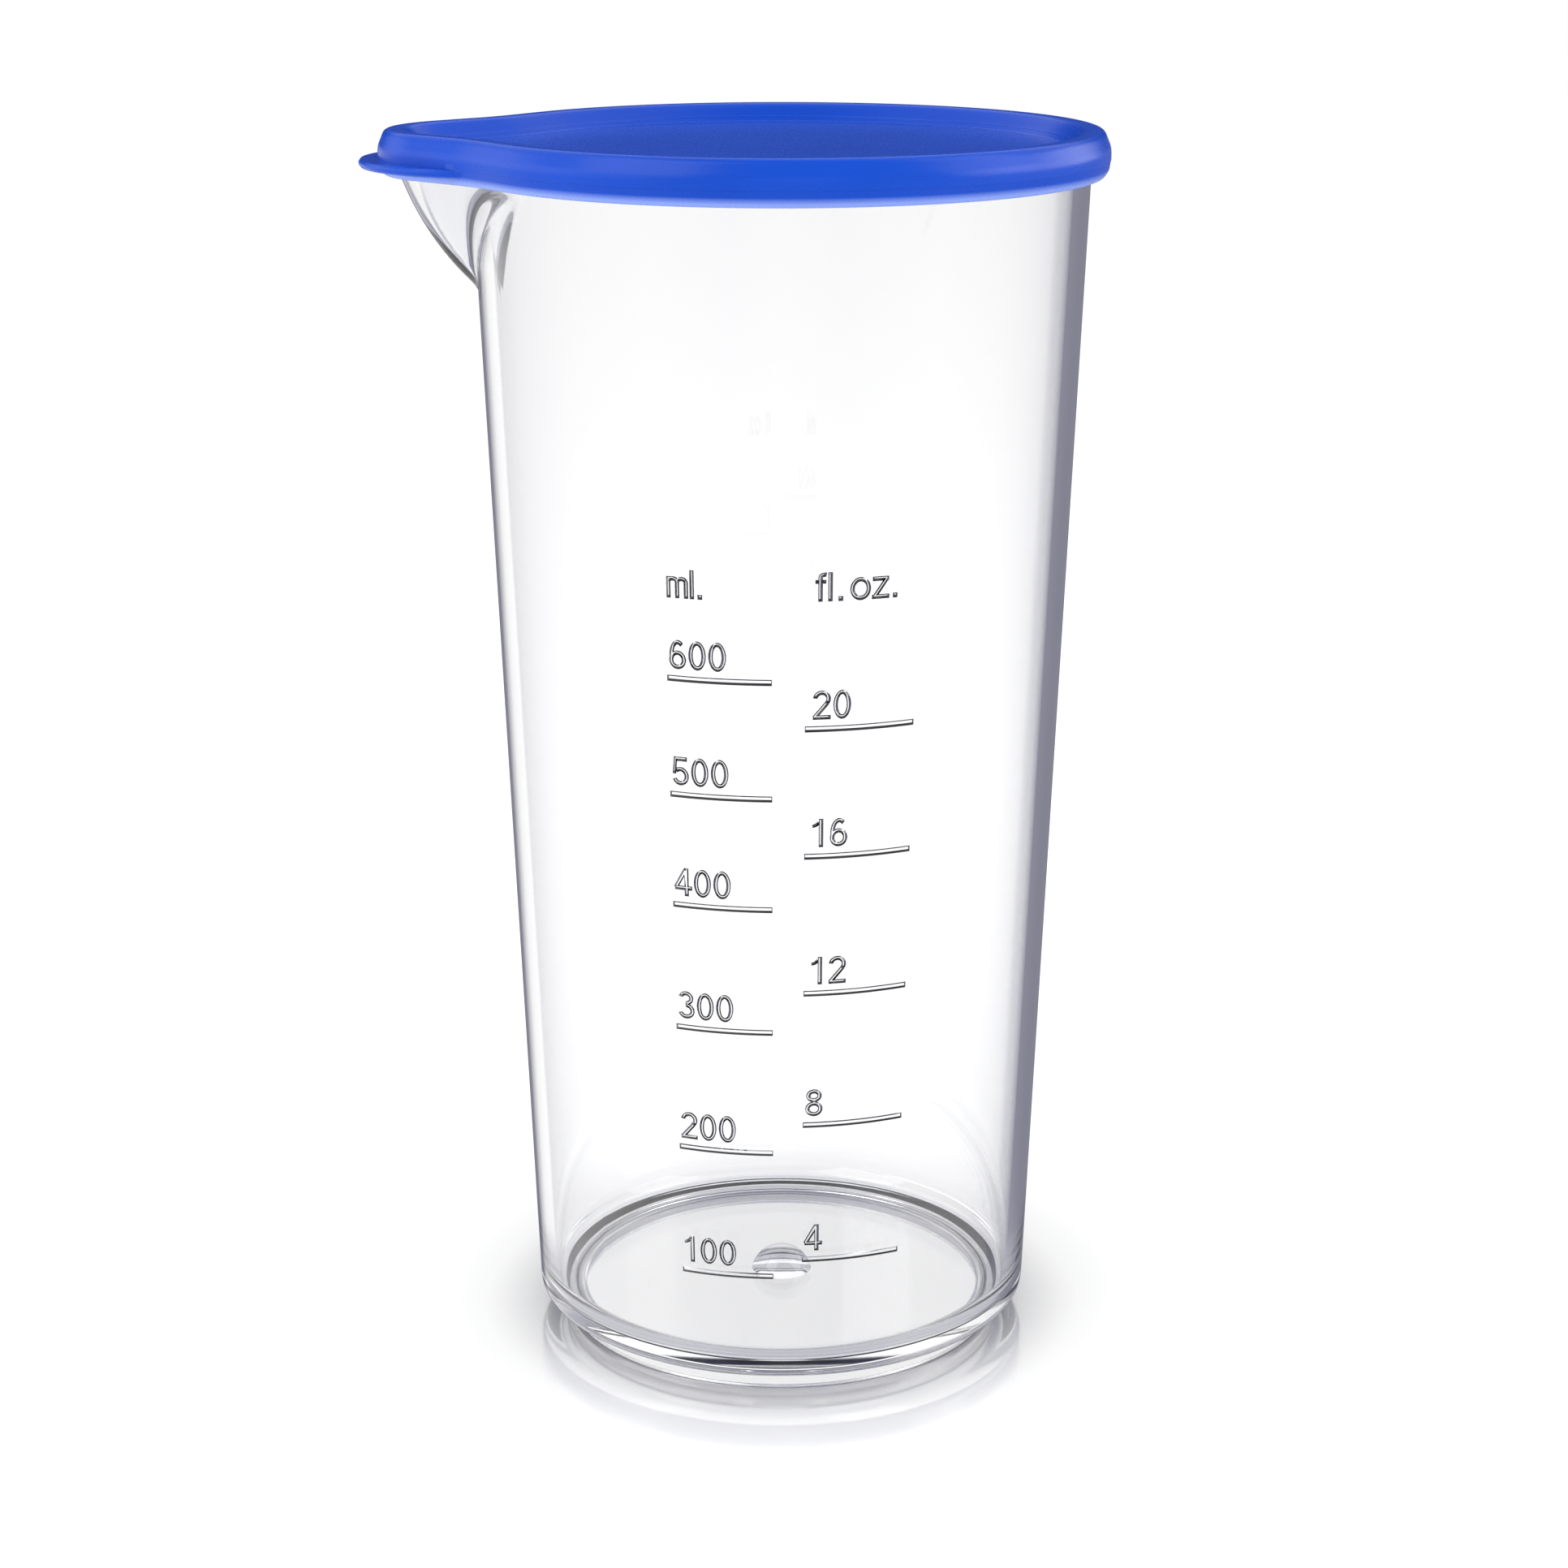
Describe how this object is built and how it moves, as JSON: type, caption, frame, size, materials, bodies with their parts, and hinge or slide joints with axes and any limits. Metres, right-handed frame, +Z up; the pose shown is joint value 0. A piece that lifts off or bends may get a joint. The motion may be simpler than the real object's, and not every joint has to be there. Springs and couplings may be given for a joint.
{
  "type": "measuring beaker with lid",
  "caption": "Tall tapered clear plastic beaker with a pouring spout, a raised ml and fl.oz. scale on its wall, and a soft press-on lid with a pull tab.",
  "frame": {"origin": "on the beaker's axis, in the plane that its foot ring stands on", "axes": "+Z up along the axis to the lid, -X towards the pouring spout, -Y towards the side with the scale"},
  "size_m": [0.1158, 0.1014, 0.1954],
  "materials": {
    "clear_plastic": "polished clear moulding",
    "blue_plastic": "satin, soft polyethylene"
  },
  "bodies": {
    "beaker": {"beaker": "clear_plastic"},
    "lid": {"lid": "blue_plastic"}
  },
  "joints": [
    {"name": "lid_lift", "type": "slide", "parent": "beaker", "child": "lid", "axis": [0, 0, 1], "range_m": [0, 0.05]}
  ]
}
